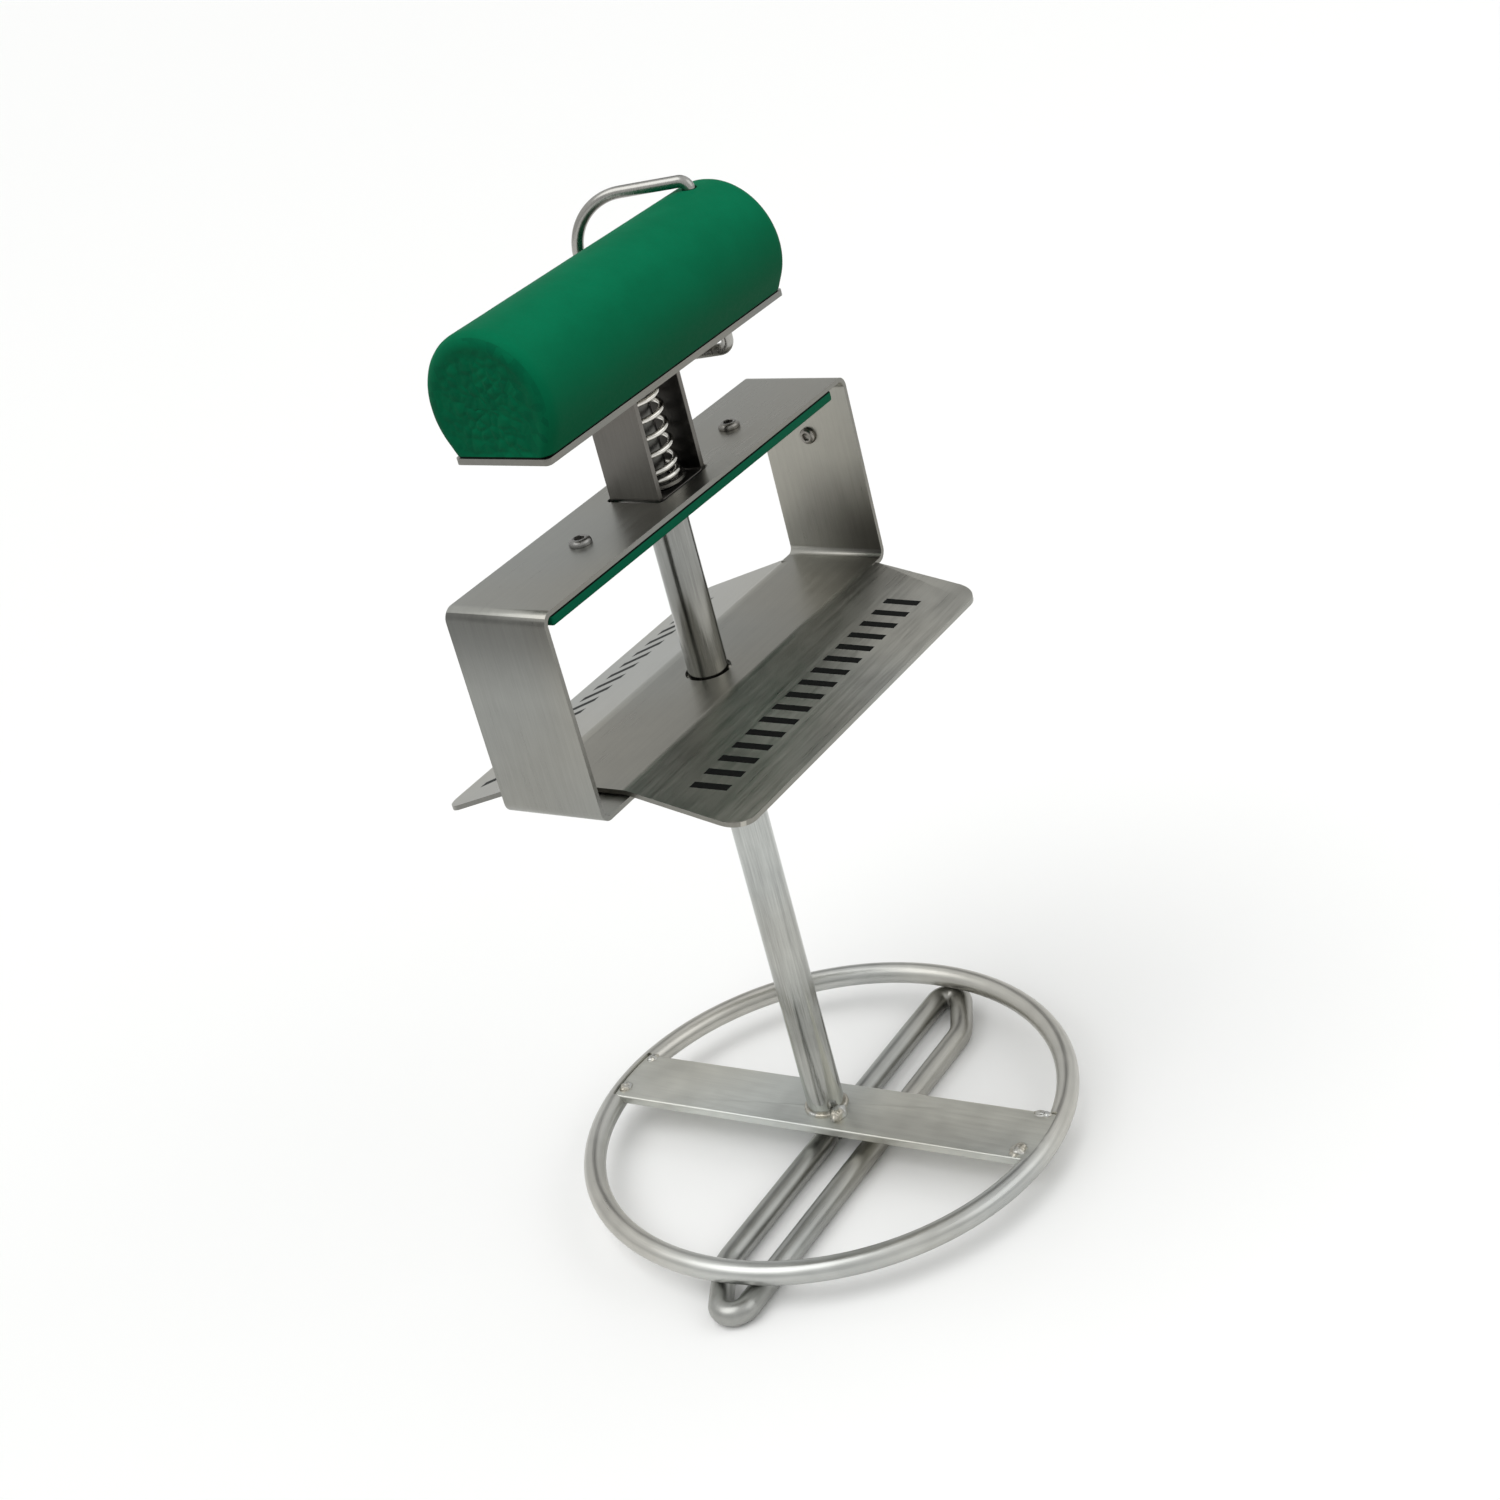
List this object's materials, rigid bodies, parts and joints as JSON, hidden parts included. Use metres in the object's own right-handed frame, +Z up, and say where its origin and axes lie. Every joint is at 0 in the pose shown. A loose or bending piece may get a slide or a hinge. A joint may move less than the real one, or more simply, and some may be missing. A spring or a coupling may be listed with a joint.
{
  "type": "grill grid lifter",
  "caption": "Palm-grip lifter for a cooking grid: squeezing lowers a sprung wire loop under a round base ring; folded finger frame with heat shield and a hang loop.",
  "frame": {"origin": "on the guide tube's axis, level with the underside of the lifting loop", "axes": "+Z up the guide tube to the grip, +X along the grip towards the hang loop's hole, front (the side the lifting loop is offset to) at -Y"},
  "size_m": [0.1423, 0.135, 0.2551],
  "materials": {
    "sheet_steel": "brushed stainless sheet",
    "tube_steel": "drawn stainless tube",
    "wire_steel": "satin stainless wire",
    "weld_steel": "weld bead",
    "spring_steel": "bright spring wire",
    "fastener_steel": "plain stainless",
    "grip_rubber": "matte green soft grip"
  },
  "bodies": {
    "frame": {"folded_body": "sheet_steel", "flange_welds": "weld_steel", "finger_pad": "grip_rubber", "pad_screws": "fastener_steel", "leg_screw": "fastener_steel", "guide_tube": "tube_steel", "tube_foot_weld": "weld_steel", "shield_weld": "weld_steel", "base_ring": "wire_steel", "cross_bar": "sheet_steel", "bar_welds": "weld_steel", "spring_washer": "fastener_steel", "return_spring": "spring_steel"},
    "grip_unit": {"u_bracket": "sheet_steel", "bracket_welds": "weld_steel", "grip_base_plate": "sheet_steel", "grip": "grip_rubber", "hook_rod": "wire_steel", "hook_weld": "weld_steel", "rod_top_weld": "weld_steel"},
    "hanger": {"hang_loop": "wire_steel"}
  },
  "joints": [
    {"name": "squeeze", "type": "slide", "parent": "frame", "child": "grip_unit", "axis": [0, 0, -1], "range_m": [0, 0.012], "stiffness_N_per_m": 5200, "springref_m": -0.002, "deforming": ["return_spring"]},
    {"name": "hanger_swing", "type": "hinge", "parent": "grip_unit", "child": "hanger", "pos_m": [0.0397, 0, 0.2329], "axis": [0, 0, 1], "range_deg": [-250, 30]}
  ]
}
